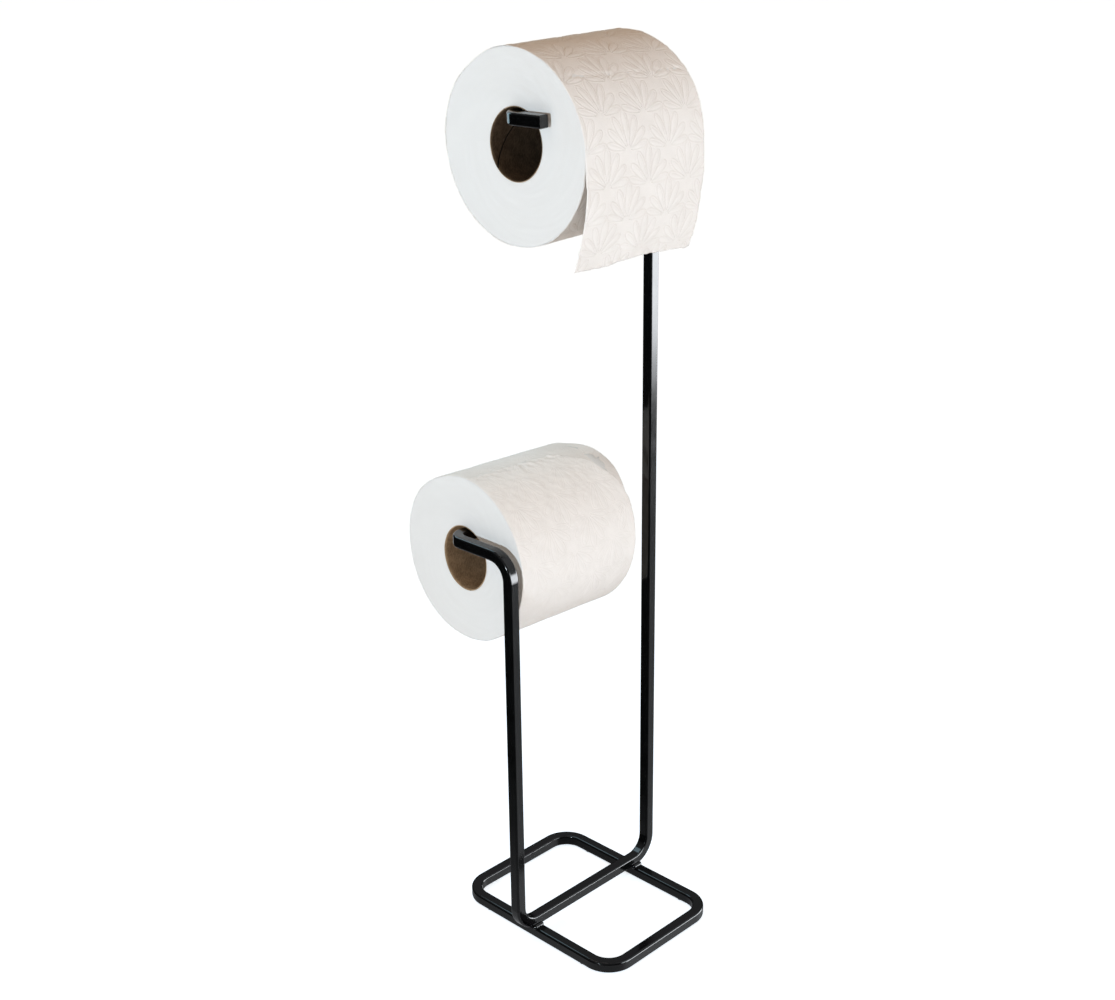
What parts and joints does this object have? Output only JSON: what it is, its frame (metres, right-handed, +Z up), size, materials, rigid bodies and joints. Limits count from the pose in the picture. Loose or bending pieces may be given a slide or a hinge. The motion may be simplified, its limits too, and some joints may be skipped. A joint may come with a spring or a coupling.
{
  "type": "toilet roll storage holder",
  "caption": "Free-standing toilet roll holder of bent square steel bar on a flat loop base, with an upper arm for the roll in use and a lower side arm for a spare, both loaded.",
  "frame": {"origin": "on the floor, under the middle of the base loop", "axes": "+X runs from the front upright to the tall rear upright, +Y points to the side of the lower arm with the spare roll, +Z is up"},
  "size_m": [0.145, 0.1933, 0.6256],
  "materials": {
    "black_bar": "satin",
    "black_weld": "satin",
    "pad": "matte",
    "core_card": "matte",
    "wound_tissue": "matte",
    "tissue_sheet": "matte"
  },
  "bodies": {
    "frame": {"base_loop": "black_bar", "spine_bar": "black_bar", "front_weld": "black_weld", "rear_weld": "black_weld", "floor_pad_1": "pad", "floor_pad_2": "pad", "floor_pad_3": "pad", "floor_pad_4": "pad"},
    "top_roll": {"top_core_inner_ply": "core_card", "top_core_outer_ply": "core_card", "top_winding": "wound_tissue", "top_outer_lap": "tissue_sheet", "top_last_sheet": "tissue_sheet"},
    "low_roll": {"low_core_inner_ply": "core_card", "low_core_outer_ply": "core_card", "low_winding": "wound_tissue", "low_outer_lap": "tissue_sheet"}
  },
  "joints": [
    {"name": "top_roll_spin", "type": "hinge", "parent": "frame", "child": "top_roll", "pos_m": [-0.05562, 0.0015, 0.5638], "axis": [0.9992, 0, 0.0401], "continuous": true},
    {"name": "low_roll_spin", "type": "hinge", "parent": "frame", "child": "low_roll", "pos_m": [-0.05837, 0.05665, 0.28034], "axis": [0.9993, -0.0349, -0.0157], "continuous": true}
  ]
}
